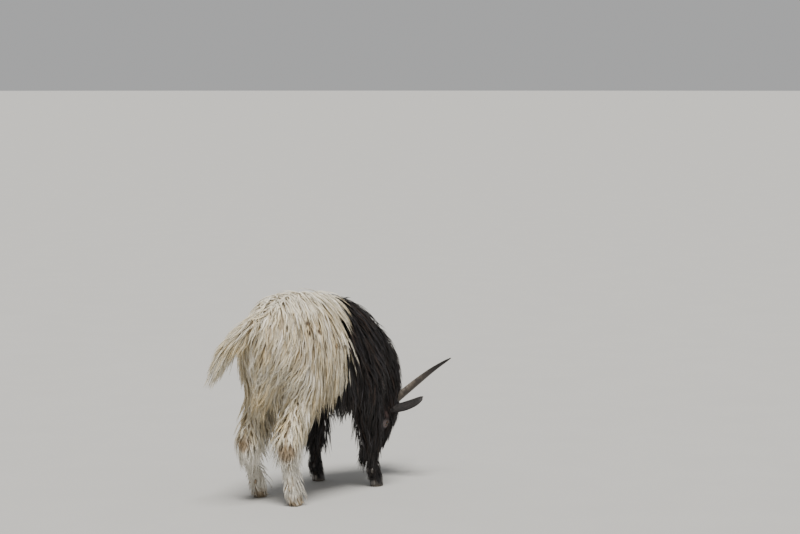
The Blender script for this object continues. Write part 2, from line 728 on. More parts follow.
def body_chains():
    """Every part of the body as a path with half widths, and its cell of the unwrapped skin."""
    chains = []
    centres = [(x, 0, (top + bottom) / 2) for x, top, bottom, _ in TRUNK]
    deep = [(top - bottom) / 2 for _, top, bottom, _ in TRUNK]
    chains.append(Chain("trunk", "trunk", np.array(centres), np.array([s[3] for s in TRUNK]),
                        np.array(deep), (0.00, 0.00, 0.50, 0.75)))
    tubes = [("neck", "neck", NECK, 1, (0.50, 0.00, 0.25, 0.40)),
             ("tail", "tail", TAIL, 1, (0.50, 0.42, 0.25, 0.20))]
    for k, (foot, (stations, hand)) in enumerate(LEGS.items()):
        tubes.append((foot, foot[:4], stations, hand, (0.76, 0.25 * k, 0.23, 0.24)))
    for name, kind, stations, hand, cell in tubes:
        centres = np.array([mirrored(s[0], hand) for s in stations])
        chains.append(Chain(name, kind, centres, np.array([s[1] for s in stations]),
                            np.array([s[2] for s in stations]), cell))
    centres = np.array([in_head(s[0], 0, s[1]) for s in HEAD])
    chains.append(Chain("head", "head", centres, np.array([s[2] for s in HEAD]),
                        np.array([s[3] for s in HEAD]), (0.00, 0.77, 0.50, 0.22)))
    return chains


def unit(vectors):
    return vectors / np.maximum(np.linalg.norm(vectors, axis=-1, keepdims=True), 1e-9)


def dot(a, b):
    return (a * b).sum(-1)


def place_on_chains(spots, chains):
    """The chain that each spot belongs to, its share of the way along it, and the turn round it."""
    best = np.full(len(spots), 1e9)
    which = np.zeros(len(spots), int)
    share = np.zeros(len(spots))
    turn = np.zeros(len(spots))
    for number, chain in enumerate(chains):
        last = len(chain.centres) - 1
        for k in range(last):
            a, b = chain.centres[k], chain.centres[k + 1]
            span = b - a
            part = np.clip(dot(spots - a, span) / dot(span, span), 0, 1)
            off = spots - a - part[:, None] * span
            ahead = span / np.linalg.norm(span)
            side = np.array(LEFT) - ahead * ahead[1]
            side = side / np.linalg.norm(side)
            up = np.cross(side, ahead)
            wide = chain.wide[k] + (chain.wide[k + 1] - chain.wide[k]) * part
            deep = chain.deep[k] + (chain.deep[k + 1] - chain.deep[k]) * part
            across, rise, beyond = off @ side / wide, off @ up / deep, off @ ahead / (0.5 * (wide + deep))
            far = np.sqrt(across ** 2 + rise ** 2 + beyond ** 2)
            nearer = far < best
            best = np.where(nearer, far, best)
            which = np.where(nearer, number, which)
            share = np.where(nearer, (k + part) / last, share)
            turn = np.where(nearer, np.arctan2(rise, across), turn)
    return which, share, turn


def nearest(tree, spots):
    """Nearest points of the skin with the skin's normals there."""
    near = np.empty_like(spots)
    out = np.empty_like(spots)
    for k, spot in enumerate(spots.tolist()):
        hit, normal, _, _ = tree.find_nearest(spot)
        near[k] = hit
        out[k] = normal
    return near, out


HANGS_BELOW = {"trunk": -0.10, "neck": -0.75, "tail": 1.0, "hind": -0.60, "fore": -0.60, "head": -2.0,
               "forelock": -2.0, "beard": 1.0, "ear": -2.0}
# How far a lock swings to each side of its line, and over what length.
WAVES = {"trunk": (0.0050, 0.078), "neck": (0.0042, 0.080), "tail": (0.0014, 0.110), "hind": (0.0046, 0.062),
         "fore": (0.0036, 0.065), "head": (0.0008, 0.050), "forelock": (0.0040, 0.060),
         "beard": (0.0036, 0.060), "ear": (0.0004, 0.050)}

Locks = namedtuple("Locks", "kind roots normals length depth lean spacing toward")
# One kind of strand in a lock: how many, how wide, how thick against its width, how far it rolls.
Strand = namedtuple("Strand", "count width thick roll")
LONG_LOCK = (Strand(2, 0.0044, 0.20, 0.35), Strand(3, 0.0016, 0.60, 0.8))
SHORT_LOCK = (Strand(1, 0.0040, 0.22, 0.25), Strand(3, 0.0014, 0.60, 0.8))
TAIL_LOCK = (Strand(2, 0.0036, 0.20, 0.35), Strand(3, 0.0013, 0.60, 0.8))
HEAD_LOCK = (Strand(1, 0.0036, 0.25, 0.3), Strand(2, 0.0014, 0.60, 0.8))
MUZZLE_LOCK = (Strand(1, 0.0012, 0.45, 0.3),)
EAR_LOCK = (Strand(1, 0.0011, 0.30, 0.3),)


def along_path(centres, here):
    """The direction of the stretch of a path that lies nearest to each spot."""
    middles = (centres[1:] + centres[:-1]) / 2
    ways = unit(centres[1:] - centres[:-1])
    near = np.linalg.norm(here[:, None] - middles[None], axis=2).argmin(1)
    return ways[near]


def larger_locks(here):
    """The phase across the larger locks that the hair draws together into, along x and along y."""
    x, y, z = here[:, 0], here[:, 1], here[:, 2]
    return (2 * math.pi * x / 0.056 + 2.2 * np.sin(8 * z + 5 * y) + 1,
            2 * math.pi * y / 0.052 + 2.2 * np.sin(9 * z - 4 * x))


def relief(roots, normals):
    """How the hair's depth rises and falls over the larger locks."""
    phase_x, phase_y = larger_locks(roots)
    flank = np.clip(np.abs(normals[:, 1]), 0, 1)
    stern = np.clip(np.abs(normals[:, 0]), 0, 1)
    return 1 - RELIEF * (np.cos(phase_x) * flank + np.cos(phase_y) * stern)


def drift(here):
    """A slow change in the lie of the hair from place to place."""
    x, y, z = here[:, 0], here[:, 1], here[:, 2]
    sway = np.sin(31 * x + 17 * z + 2.0) + 0.7 * np.sin(67 * x - 53 * z + 41 * y)
    roll = np.sin(23 * z - 37 * y + 1.0) + 0.7 * np.sin(59 * y + 71 * x + 4.0)
    phase_x, phase_y = larger_locks(here)
    return np.stack((sway * 0.10 + np.sin(phase_x) * 0.11, roll * 0.06 + np.sin(phase_y) * 0.09, 0 * sway), -1)


def lie_of(locks, here, out, astray):
    """The way the hair lies at each spot; astray moves each lock's side of the parting."""
    kind = locks.kind
    down = np.tile((0.0, 0.0, -1.0), (len(here), 1))
    if kind in ("forelock", "beard", "ear"):
        return locks.toward
    if kind == "head":
        side = np.clip((dot(here - np.array(POLL), np.array(HEAD_RIGHT)) + astray * 0.6) / 0.014, -1, 1)
        return np.array(NOSEWARD) + side[:, None] * np.array(HEAD_RIGHT) * 0.22 - np.array(BROWWARD) * 0.10
    if kind == "tail":
        droop = np.clip(0.30 - 0.38 * out[:, 2:], 0.05, 0.6)
        return along_path(TAIL_LINE, here) + down * droop + out * 0.06
    parting = np.clip((here[:, 1] + astray) / PARTING, -1, 1)
    top = np.maximum(0, out[:, 2])
    if kind == "neck":
        parting = np.clip((here[:, 1] + 0.010 + astray) / PARTING, -1, 1)
        under = np.clip(-out[:, :1] * 1.5, 0, 1)
        way = along_path(NECK_LINE, here) * (1 - 0.7 * under) + down * (0.35 + 0.7 * under) + drift(here)
        way[:, 1] += parting * 0.75 * top + 0.25 * out[:, 1]
        return way
    way = down + drift(here)
    way[:, 0] += locks.lean
    if kind == "trunk":
        beside = np.clip(1 + 1.3 * np.minimum(0, out[:, 0]), 0, 1)
        lean = np.interp(here[:, 0], RUMP_LIE[0], RUMP_LIE[1])
        low = np.clip((0.66 - here[:, 2]) / 0.16, 0, 1) * np.clip((0.10 - here[:, 0]) / 0.12, 0, 1)
        lean -= 0.65 * low
        way[:, 0] += np.where(lean < 0, lean * beside, lean)
        way[:, 1] -= np.sign(here[:, 1]) * 0.5 * (1 - beside)
        way[:, 1] += parting * 0.8 * top
        spine = top * np.clip(1 - np.abs(here[:, 1]) / 0.06, 0, 1)
        way[:, 0] = way[:, 0] * (1 - 0.8 * spine) + np.interp(here[:, 0], *SPINE_LIE) * spine
        return way
    if kind == "hind":
        thigh = np.clip((here[:, 2] - 0.38) / 0.10, 0, 1)
        behind = np.clip(-out[:, 0], 0, 1)
        way[:, 0] -= (0.55 * thigh + locks.lean) * np.clip(behind * 1.3, 0, 1) - 0.0
        way[:, 0] -= 0.45 * thigh * (1 - behind)
        way[:, 1] -= np.sign(here[:, 1]) * 0.45 * thigh * behind
    # Above the hoof the hair fans out over it.
    fan = np.clip((0.110 - here[:, 2]) / 0.07, 0, 1)[:, None]
    flat = out * (1, 1, 0)
    return way + flat * fan * 0.8 + np.array((0.25, 0, 0)) * fan


def guide_paths(tree, locks, steps, dice):
    """The middle line of each lock, stepped over the skin, with the outward way at each point."""
    count = len(locks.roots)
    hang = HANGS_BELOW[locks.kind]
    layer = dice.uniform(0.38, 1.0, count)
    here = locks.roots + locks.normals * 0.0008
    # On the back the hair parts, so it rises sooner there and hides the skin.
    ridge = np.clip(locks.normals[:, 2], 0, 1) ** 2 * (locks.kind in ("trunk", "neck"))
    points = [locks.roots - locks.normals * (0.0035 - 0.0028 * ridge)[:, None]]
    outs = [locks.normals]
    heading = None
    face = locks.normals.copy()
    step = (locks.length / steps)[:, None]
    stray = dice.normal(0, 0.045 if locks.kind in ("tail", "head", "ear") else 0.075, (count, 3))
    astray = dice.normal(0, 0.034 if locks.kind == "trunk" else 0.016, count)
    near, out = nearest(tree, here)
    for k in range(1, steps + 1):
        share = k / steps
        way = lie_of(locks, here, out, astray) + stray
        inward = dot(way, out)
        clings = (out[:, 2] > hang)
        way = unit(way - out * np.where(clings, inward, np.minimum(inward, 0))[:, None])
        heading = way if heading is None else unit(heading * 0.5 + way * 0.5)
        here = here + heading * step
        near, out = nearest(tree, here)
        height = dot(here - near, out)
        wanted = locks.depth * layer * share ** (0.6 - 0.25 * ridge)
        lift = np.where(clings | (height < wanted), wanted - height, 0)
        lift = np.clip(lift, -0.6 * step[:, 0], 0.45 * step[:, 0])
        here = here + out * lift[:, None]
        here[:, 2] = np.maximum(here[:, 2], 0.004)
        face = unit(face * 0.6 + out * np.where(clings, 0.4, 0.08)[:, None])
        points.append(here.copy())
        outs.append(face.copy())
    points = np.stack(points, 1)
    for _ in range(2):
        points[:, 1:-1] = points[:, 1:-1] * 0.5 + (points[:, :-2] + points[:, 2:]) * 0.25
    return points, np.stack(outs, 1)


def read_at(values, share):
    """Rows of values read at a share of the way along each."""
    last = values.shape[1] - 1
    place = np.clip(share * last, 0, last - 1e-6)
    low = place.astype(int)
    part = (place - low)[..., None]
    rows = np.arange(len(values))[:, None]
    return values[rows, low] * (1 - part) + values[rows, low + 1] * part


Hairs = namedtuple("Hairs", "at side out width thick tint")


def strands(locks, points, outs, steps, recipe, dice):
    """The strands of every lock: their middle lines, the ways across and out, widths and tints."""
    count = len(points)
    amount, period = WAVES[locks.kind]
    shares = np.linspace(0, 1, steps + 1)[None, :]
    phase = (locks.roots @ np.array((61.0, 47.0, 33.0)))[:, None] + dice.uniform(-0.8, 0.8, (count, 1))
    swing = amount * dice.uniform(0.5, 1.3, (count, 1)) * (1 - 0.5 * np.clip(locks.normals[:, 2:], 0, 1))
    if locks.kind == "hind":
        swing = swing * np.interp(locks.roots[:, 2:], (0.18, 0.26), (0.45, 1.0))
    lock_tint = dice.uniform(0.35, 0.6, count) if locks.kind == "ear" else dice.uniform(0, 1, count)
    made = []
    for kind in recipe:
        ribbon = kind.width > RIBBON
        for _ in range(kind.count):
            own = dice.uniform(0.74, 1.0, (count, 1)) if ribbon else dice.uniform(0.70, 1.06, (count, 1))
            at = read_at(points, np.minimum(shares * own, 1.0))
            out = unit(read_at(outs, np.minimum(shares * own, 1.0)))
            ahead = unit(np.gradient(at, axis=1))
            side = unit(np.cross(ahead, out))
            out = unit(np.cross(side, ahead))
            angle = dice.uniform(0, 2 * math.pi, (count, 1))
            far = np.sqrt(dice.uniform(0, 1, (count, 1))) * locks.spacing[:, None] * (0.34 if ribbon else 0.60)
            gather = 1 - 0.70 * shares ** 1.3
            along = locks.length[:, None] * shares * own
            wave = swing * np.minimum(1, along / 0.05) * np.sin(
                phase + dice.normal(0, 0.25, (count, 1)) + 2 * math.pi * along / period)
            at = at + side * (np.cos(angle) * far * gather + wave)[..., None]
            rise = np.sin(angle) * far * 0.30 * gather * np.minimum(1, shares * 3)
            at = at + out * (np.maximum(rise, -0.001) + 0.25 * wave - (0.0012 if ribbon else 0))[..., None]
            roll = dice.uniform(-kind.roll, kind.roll, (count, 1, 1))
            across = side * np.cos(roll) + out * np.sin(roll)
            ridge = out * np.cos(roll) - side * np.sin(roll)
            room = np.clip(locks.spacing / 0.0125, 0.6, 1.0) if ribbon else 1.0
            width = kind.width * room * dice.uniform(0.75, 1.25, count)
            tint = np.clip(lock_tint + dice.normal(0, 0.16, count), 0, 1)
            made.append((at, across, ridge, width, np.full(count, kind.thick), tint))
    return Hairs(*[np.concatenate(parts) for parts in zip(*made)])


def strand_mesh(name, hairs, root_uv, dice):
    """Tapered three-sided strands as one mesh, with their hair data and their patch of the unwrap."""
    count, stations, _ = hairs.at.shape
    rings = stations - 1
    shares = np.arange(rings) / rings
    wide = hairs.width > RIBBON
    fine_taper = np.interp(shares, (0.0, 0.18, 0.55, 0.85, 1.0), (0.55, 1.0, 0.95, 0.60, 0.35))
    wide_taper = np.interp(shares, (0.0, 0.18, 0.50, 0.80, 1.0), (0.55, 1.0, 0.88, 0.48, 0.20))
    size = np.where(wide[:, None], wide_taper[None], fine_taper[None])
    half = (hairs.width[:, None] * size / 2)[..., None]
    thick = half * hairs.thick[:, None, None]
    across, ridge, middle = hairs.side[:, :rings], hairs.out[:, :rings], hairs.at[:, :rings]
    corners = np.stack((middle - across * half - ridge * thick * 0.6,
                        middle + across * half - ridge * thick * 0.6,
                        middle + ridge * thick * 1.4), 2)
    verts = np.concatenate((corners.reshape(count, rings * 3, 3), hairs.at[:, -1:]), 1)
    verts[..., 2] = np.maximum(verts[..., 2], 0.002)
    per_strand = rings * 3 + 1
    quads = []
    for row in range(rings - 1):
        for k in range(3):
            low, nxt = row * 3, (k + 1) % 3
            quads.append((low + k, low + nxt, low + 3 + nxt, low + 3 + k))
    tip = rings * 3
    last = (rings - 1) * 3
    triangles = [(last + k, last + (k + 1) % 3, tip) for k in range(3)] + [(2, 1, 0)]
    starts = (np.arange(count) * per_strand)[:, None, None]
    quad_loops = (np.array(quads)[None] + starts).reshape(-1)
    triangle_loops = (np.array(triangles)[None] + starts).reshape(-1)
    loops = np.concatenate((quad_loops, triangle_loops)).astype(np.int32)
    quad_count, triangle_count = len(quad_loops) // 4, len(triangle_loops) // 3
    loop_start = np.concatenate((np.arange(quad_count) * 4,
                                 quad_count * 4 + np.arange(triangle_count) * 3)).astype(np.int32)
    mesh = bpy.data.meshes.new(name)
    mesh.vertices.add(count * per_strand)
    mesh.vertices.foreach_set("co", verts.astype(np.float32).ravel())
    mesh.loops.add(len(loops))
    mesh.loops.foreach_set("vertex_index", loops)
    mesh.polygons.add(len(loop_start))
    mesh.polygons.foreach_set("loop_start", loop_start)
    mesh.update(calc_edges=True)
    sharpen_ribbons(mesh, per_strand, rings, wide)

    along = np.append(np.repeat(shares, 3), 1.0)
    over = np.append(np.tile((-0.5, 0.5, 0.0), rings), 0.0)
    hair = np.empty((count, per_strand, 3), np.float32)
    hair[..., 0] = hairs.tint[:, None]
    hair[..., 1] = along[None]
    hair[..., 2] = over[None] * hairs.width[:, None] * 1000 + dice.uniform(0, 90, (count, 1))
    layer = mesh.attributes.new("hair", "FLOAT_VECTOR", "POINT")
    layer.data.foreach_set("vector", hair.ravel())
    patch = np.stack((over, along - 0.5), -1)[None] * PATCH
    uv = (root_uv[:, None] + patch).reshape(-1, 2).astype(np.float32)
    mesh.uv_layers.new(name="OFBake").data.foreach_set("uv", uv[loops].ravel())
    made = bpy.data.objects.new(name, mesh)
    bpy.context.scene.collection.objects.link(made)
    return made


def sharpen_ribbons(mesh, per_strand, rings, wide):
    """Marks the two side edges of the wide strands sharp, so their faces shade flat."""
    ends = np.empty(len(mesh.edges) * 2, np.int32)
    mesh.edges.foreach_get("vertices", ends)
    ends = ends.reshape(-1, 2)
    corner = (ends % per_strand) % 3
    in_ring = (ends % per_strand) < rings * 3
    beside = (corner[:, 0] == corner[:, 1]) & (corner[:, 0] < 2) & in_ring.all(1)
    beside &= wide[ends[:, 0] // per_strand]
    mesh.attributes.new("sharp_edge", "BOOLEAN", "EDGE").data.foreach_set("value", beside)


def is_white(spots):
    """Whether the hair rooted at each spot is white: the white half lies behind a ragged slanting line."""
    side = np.clip(np.abs(spots[:, 1]) / MARKING_SIDE, 0, 1)
    edge = MARKING_AT - MARKING_FALL * side * side * (3 - 2 * side)
    ragged = 0.008 * np.sin(spots[:, 2] * 47 + spots[:, 1] * 23) + 0.005 * np.sin(spots[:, 2] * 121)
    return spots[:, 0] < edge + ragged


def bare(spots):
    """Spots with no hair: the eyes, the horns' bases, the ears' roots, the nose, the lips and the hooves."""
    clear = np.zeros(len(spots), bool)
    for hand in (1, -1):
        middle, gaze, _, _ = eye_frame(hand)
        clear |= np.linalg.norm(spots - np.array(middle), axis=1) < 0.0225
        base = in_head(HORN_AT[0], HORN_AT[1] * hand, HORN_AT[2])
        clear |= np.linalg.norm(spots - np.array(base), axis=1) < 0.015
        line = mouth_line()
        for point in line:
            flip = point - HEAD_RIGHT * (2 * (point - POLL).dot(HEAD_RIGHT)) if hand < 0 else point
            clear |= np.linalg.norm(spots - np.array(flip), axis=1) < 0.0030
    nose = in_head(0.254, 0, -0.002)
    clear |= np.linalg.norm(spots - np.array(nose), axis=1) < 0.019
    for foot in ("fore_right", "fore_left"):
        heel = FEET[foot] + Vector((-0.030, 0, 0.024))
        clear |= np.linalg.norm(spots - np.array(heel), axis=1) < 0.020
    for at in FEET.values():
        near_foot = np.linalg.norm(spots[:, :2] - np.array(at)[:2], axis=1) < 0.05
        clear |= near_foot & (spots[:, 2] < 0.026)
    return clear


def surface_spots(skin, per_face, dice):
    """Candidate roots scattered over the skin, with its normals there and the faces' areas."""
    mesh = skin.data
    count = len(mesh.polygons)
    centres = np.empty(count * 3, np.float32)
    normals = np.empty(count * 3, np.float32)
    areas = np.empty(count, np.float32)
    mesh.polygons.foreach_get("center", centres)
    mesh.polygons.foreach_get("normal", normals)
    mesh.polygons.foreach_get("area", areas)
    centres = np.tile(centres.reshape(-1, 3).astype(float), (per_face, 1))
    normals = np.tile(normals.reshape(-1, 3).astype(float), (per_face, 1))
    reach = np.tile(np.sqrt(areas), per_face)[:, None]
    jitter = dice.uniform(-0.5, 0.5, centres.shape) * reach
    return centres + jitter - normals * dot(jitter, normals)[:, None], normals


def spread_out(spots, gaps, dice):
    """Picks spots in a random order, each at least its gap away from those picked before."""
    tree = KDTree(len(spots))
    for k, spot in enumerate(spots.tolist()):
        tree.insert(spot, k)
    tree.balance()
    free = bytearray(b"\x01") * len(spots)
    picked = []
    for k in dice.permutation(len(spots)).tolist():
        if free[k]:
            picked.append(k)
            for _, other, _ in tree.find_range(spots[k], gaps[k]):
                free[other] = 0
    return np.array(picked, int)


def uv_of(chains, which, share, turn):
    """The root's place on the unwrapped skin: along the part and round it, inside the part's cell."""
    cells = np.array([chain.cell for chain in chains])[which]
    around = (turn / (2 * math.pi)) % 1.0
    return cells[:, :2] + np.stack((share, around), -1) * cells[:, 2:] * 0.98 + 0.004


def coat_columns(kind, share):
    rows = COATS[kind]
    shares = [row.share for row in rows]
    return [np.interp(share, shares, [getattr(row, field) for row in rows])
            for field in ("length", "depth", "spacing", "lean")]


def recipe_for(kind, is_long):
    """The strands of a part's locks, and the number of steps along them."""
    if kind == "head":
        return (HEAD_LOCK, 5) if is_long else (MUZZLE_LOCK, SHORT_STEPS)
    if kind == "tail":
        return TAIL_LOCK, LONG_STEPS
    return (LONG_LOCK, LONG_STEPS) if is_long else (SHORT_LOCK, SHORT_STEPS)


def tufts(tree, locks, recipe, steps, label, root_uv, dice):
    """The locks' strands as meshes, each short enough for one piece."""
    points, outs = guide_paths(tree, locks, steps, dice)
    hairs = strands(locks, points, outs, steps, recipe, dice)
    per_lock = sum(kind.count for kind in recipe)
    root_uv = np.tile(root_uv, (per_lock, 1))
    triangles = (steps - 1) * 6 + 4
    pieces = -(-len(hairs.at) * triangles // MOST_TRIANGLES)
    order = np.argsort(np.tile(locks.roots[:, 0], per_lock), kind="stable")
    made = []
    for k in range(pieces):
        part = order[k * len(order) // pieces:(k + 1) * len(order) // pieces]
        kept = Hairs(*[column[part] for column in hairs])
        made.append(strand_mesh(f"{label}_{k + 1}", kept, root_uv[part], dice))
    return made


def body_coat(skin, tree, settings, dice):
    """The coat that follows the skin, as (piece, is white, name of the part)."""
    chains = body_chains()
    spots, normals = surface_spots(skin, 3, dice)
    kept = ~bare(spots)
    spots, normals = spots[kept], normals[kept]
    which, share, turn = place_on_chains(spots, chains)
    white = is_white(spots)
    made = []
    for number, chain in enumerate(chains):
        of_part = np.flatnonzero(which == number)
        length, depth, spacing, lean = coat_columns(chain.kind, share[of_part])
        top = np.clip(normals[of_part, 2], 0, 1) ** 2
        if chain.kind in ("trunk", "neck"):
            spacing = spacing * (1 - 0.38 * top * np.clip(1.4 - np.abs(spots[of_part, 1]) / 0.04, 0, 1))
        if chain.kind == "trunk":
            depth = depth * (1 - 0.28 * top)
            length = length * (1 - 0.25 * top)
            depth = depth * relief(spots[of_part], normals[of_part])
            hem = np.where(white[of_part], np.interp(spots[of_part, 0], *HEM_WHITE), HEM_BLACK)
            length = np.minimum(length, np.maximum(HEM_SHORTEST, spots[of_part, 2] - hem))
        if chain.kind == "head":
            brow = np.clip(dot(normals[of_part], np.array(BROWWARD)), 0, 1)
            brow = brow * np.interp(share[of_part], *BROW_FULL)
            depth = depth + 0.009 * brow
            length = length * (1 + 0.5 * brow)
        if chain.kind in ("hind", "fore"):
            behind = np.clip(-normals[of_part, 0], 0, 1)
            inner = np.clip(-normals[of_part, 1] * LEGS[chain.name][1], 0, 1)
            middle = np.interp(share[of_part], *INNER_FULL)
            if chain.kind == "fore":
                length = length * (1 - 0.55 * behind * (share[of_part] > 0.86))
            else:
                fringe = np.clip(normals[of_part, 0], 0, 1) * np.interp(share[of_part], *FRINGE)
                wisp = (dice.uniform(0, 1, len(of_part)) < 0.45) * fringe
                length = length * (1 + 0.6 * wisp)
                depth = depth * (1 + 2.4 * wisp)
            depth = depth * (1 + 0.3 * behind + (1.6 if chain.kind == "fore" else 2.0) * inner * middle)
            length = length * (1 - 0.4 * inner * (1 - middle) * (share[of_part] < 0.3))
        spacing = spacing / settings.density ** 0.5
        picked = spread_out(spots[of_part], spacing * 0.84, dice)
        chosen = of_part[picked]
        columns = [column[picked] for column in (length, depth, spacing, lean)]
        long_from = LONG_FACE_HAIR if chain.kind == "head" else LONG_HAIR
        for is_long in (True, False):
            for is_pale in (True, False):
                here = ((columns[0] > long_from) == is_long) & (white[chosen] == is_pale)
                if not here.any():
                    continue
                at = chosen[here]
                length, depth, spacing, lean = [column[here] for column in columns]
                length = length * dice.uniform(0.8, 1.15, len(at)) * settings.length
                if chain.kind == "head":
                    length = clear_of_eyes(spots[at], length, np.tile(np.array(NOSEWARD), (len(at), 1)))
                locks = Locks(chain.kind, spots[at], normals[at], length, depth, lean, spacing, None)
                recipe, steps = recipe_for(chain.kind, is_long)
                colour = "white" if is_pale else "black"
                label = f"coat_{chain.name}_{colour}_{'long' if is_long else 'short'}"
                root_uv = uv_of(chains, which[at], share[at], turn[at])
                for piece in tufts(tree, locks, recipe, steps, label, root_uv, dice):
                    made.append((piece, is_pale, PART_NODES.get(chain.name, (f"leg_{chain.name}",))))
    return made


def clear_of_eyes(spots, lengths, toward):
    """Lengths cut so that no lock reaches over an eye."""
    for hand in (1, -1):
        middle = np.array(eye_frame(hand)[0])
        gap = middle - spots
        away = np.linalg.norm(gap, axis=1)
        facing = dot(unit(toward), gap / away[:, None])
        lengths = np.where(facing > 0.72, np.minimum(lengths, np.maximum(0.007, away - 0.020)), lengths)
    return lengths


def head_tuft(tree, kind, settings, dice):
    """The forelock between the horns, or the beard under the chin."""
    long_way, wide, count, length, depth, from_brow = HEAD_TUFTS[kind]
    spots = []
    normals = []
    while len(spots) < count:
        along = dice.uniform(*long_way)
        right = dice.uniform(-wide, wide)
        start = in_head(along, right, 0.15 if from_brow else -0.15)
        spot, normal, _, _ = tree.ray_cast(start, -BROWWARD if from_brow else BROWWARD)
        if spot is not None:
            spots.append(spot)
            normals.append(normal)
    spots, normals = np.array(spots), np.array(normals)
    side = dot(spots - np.array(POLL), np.array(HEAD_RIGHT))[:, None] / wide
    if from_brow:
        toward = np.array(NOSEWARD) + np.array(HEAD_RIGHT) * side * 0.22
    else:
        toward = -np.array(UP) - np.array(AHEAD) * 0.30 + np.array(HEAD_RIGHT) * side * 0.12
    lengths = clear_of_eyes(spots, length * dice.uniform(0.6, 1.1, count) * settings.length, toward)
    spacing = np.full(count, 0.009)
    locks = Locks(kind, spots, normals, lengths, np.full(count, depth), spacing * 0, spacing, toward)
    chains = body_chains()
    root_uv = uv_of(chains, *place_on_chains(spots, chains))
    made = tufts(tree, locks, TAIL_LOCK, LONG_STEPS, f"coat_{kind}", root_uv, dice)
    return [(piece, False, ("head",)) for piece in made]


def ear_coat(hand, word, dice):
    """Short fur along both sides of an ear."""
    shell = bpy.data.objects[f"ear_shell_{word}"].copy()
    shell.data = shell.data.copy()
    shell.data.transform(Matrix.Translation(SHIFT))
    tree = tree_of(shell)
    spots, normals = surface_spots(shell, 1, dice)
    picked = spread_out(spots, np.full(len(spots), 0.0024), dice)
    spots, normals = spots[picked], normals[picked]
    bpy.data.objects.remove(shell)
    root, _ = ear_point(hand, 0.0, 0.0)
    tip, _ = ear_point(hand, 1.0, 0.0)
    toward = np.tile(np.array((tip - root).normalized()), (len(spots), 1))
    share = dot(spots - np.array(root), toward) / (tip - root).length
    lengths = dice.uniform(0.012, 0.019, len(spots)) * np.interp(share, (0.6, 1.0), (1.0, 0.45))
    spacing = np.full(len(spots), 0.004)
    locks = Locks("ear", spots, normals, lengths, spacing * 0.18, spacing * 0, spacing * 0.4, toward)
    over = dot(spots - np.array(root), np.array(UP))
    corner = np.array((0.52 if hand > 0 else 0.64, 0.80))
    root_uv = corner + np.stack((share * 0.10, over * 2.0 + 0.05), -1)
    made = tufts(tree, locks, EAR_LOCK, SHORT_STEPS, f"coat_ear_{word}", root_uv, dice)
    return [(piece, False, (f"ear_{word}",)) for piece in made]


def new_material(name):
    made = bpy.data.materials.new(name)
    made.use_nodes = True
    tree = made.node_tree
    return made, tree.nodes, tree.links, tree.nodes["Principled BSDF"]


def math_node(nodes, links, operation, a, b=None, clamp=False):
    node = nodes.new("ShaderNodeMath")
    node.operation = operation
    node.use_clamp = clamp
    for socket, value in zip(node.inputs, (a, b)):
        if value is None:
            continue
        if isinstance(value, (int, float)):
            socket.default_value = value
        else:
            links.new(value, socket)
    return node.outputs[0]


def mix_colour(nodes, links, share, a, b, mode="MIX"):
    node = nodes.new("ShaderNodeMix")
    node.data_type = "RGBA"
    node.blend_type = mode
    for socket, value in ((node.inputs["Factor"], share), (node.inputs["A"], a), (node.inputs["B"], b)):
        if isinstance(value, (int, float)):
            socket.default_value = value
        elif isinstance(value, tuple):
            socket.default_value = (*value, 1)
        else:
            links.new(value, socket)
    return node.outputs["Result"]


def noise_node(nodes, links, vector, scale, detail=3.0, roughness=0.55):
    node = nodes.new("ShaderNodeTexNoise")
    node.inputs["Scale"].default_value = scale
    node.inputs["Detail"].default_value = detail
    node.inputs["Roughness"].default_value = roughness
    links.new(vector, node.inputs["Vector"])
    return node.outputs["Fac"]


def ramp(nodes, links, value, low, high):
    node = nodes.new("ShaderNodeMapRange")
    node.interpolation_type = "SMOOTHSTEP"
    node.inputs["From Min"].default_value = low
    node.inputs["From Max"].default_value = high
    links.new(value, node.inputs["Value"])
    return node.outputs["Result"]


def object_coordinates(nodes):
    return nodes.new("ShaderNodeTexCoord").outputs["Object"]


def hair_parts(nodes, links):
    """Tint, share of the length and place across from the strands' own attribute."""
    read = nodes.new("ShaderNodeAttribute")
    read.attribute_name = "hair"
    split = nodes.new("ShaderNodeSeparateXYZ")
    links.new(read.outputs["Vector"], split.inputs[0])
    return split.outputs["X"], split.outputs["Y"], split.outputs["Z"]


def near_spot(nodes, links, coordinates, spot, radius):
    """One at a spot, fading to nothing at a distance."""
    node = nodes.new("ShaderNodeVectorMath")
    node.operation = "DISTANCE"
    links.new(coordinates, node.inputs[0])
    node.inputs[1].default_value = spot - SHIFT
    return math_node(nodes, links, "SUBTRACT", 1.0, ramp(nodes, links, node.outputs["Value"], radius * 0.4, radius))


